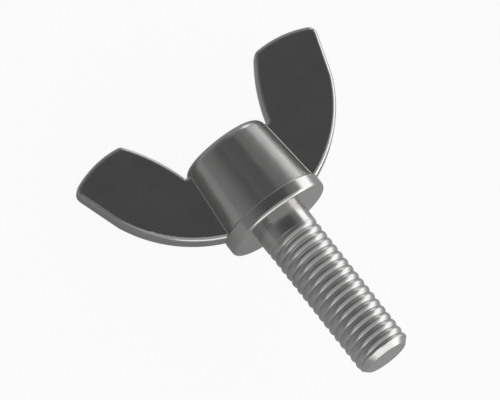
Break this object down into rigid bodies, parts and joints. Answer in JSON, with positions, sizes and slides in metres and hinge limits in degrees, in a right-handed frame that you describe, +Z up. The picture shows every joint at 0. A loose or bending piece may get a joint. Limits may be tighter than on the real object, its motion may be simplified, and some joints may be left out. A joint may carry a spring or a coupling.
{
  "type": "wing screw",
  "caption": "Wing screw: a fully threaded shank with a chamfered end, a round-edged collar, a conical hub and two flat rounded wings for turning by hand.",
  "frame": {"origin": "on the surface the screw lies on, under the middle of its box", "axes": "+Z up; the screw's axis lies in the XZ plane, with its head towards +X and 6.9 degrees below level; the wings spread along Y, rolled 12.4 degrees so that the wing towards +Y touches down"},
  "size_m": [0.0572, 0.05, 0.0194],
  "materials": {
    "steel": "bright steel, smoothly tumbled after forging, with a rolled thread"
  },
  "bodies": {
    "root": {"wing_screw": "steel"}
  },
  "joints": []
}
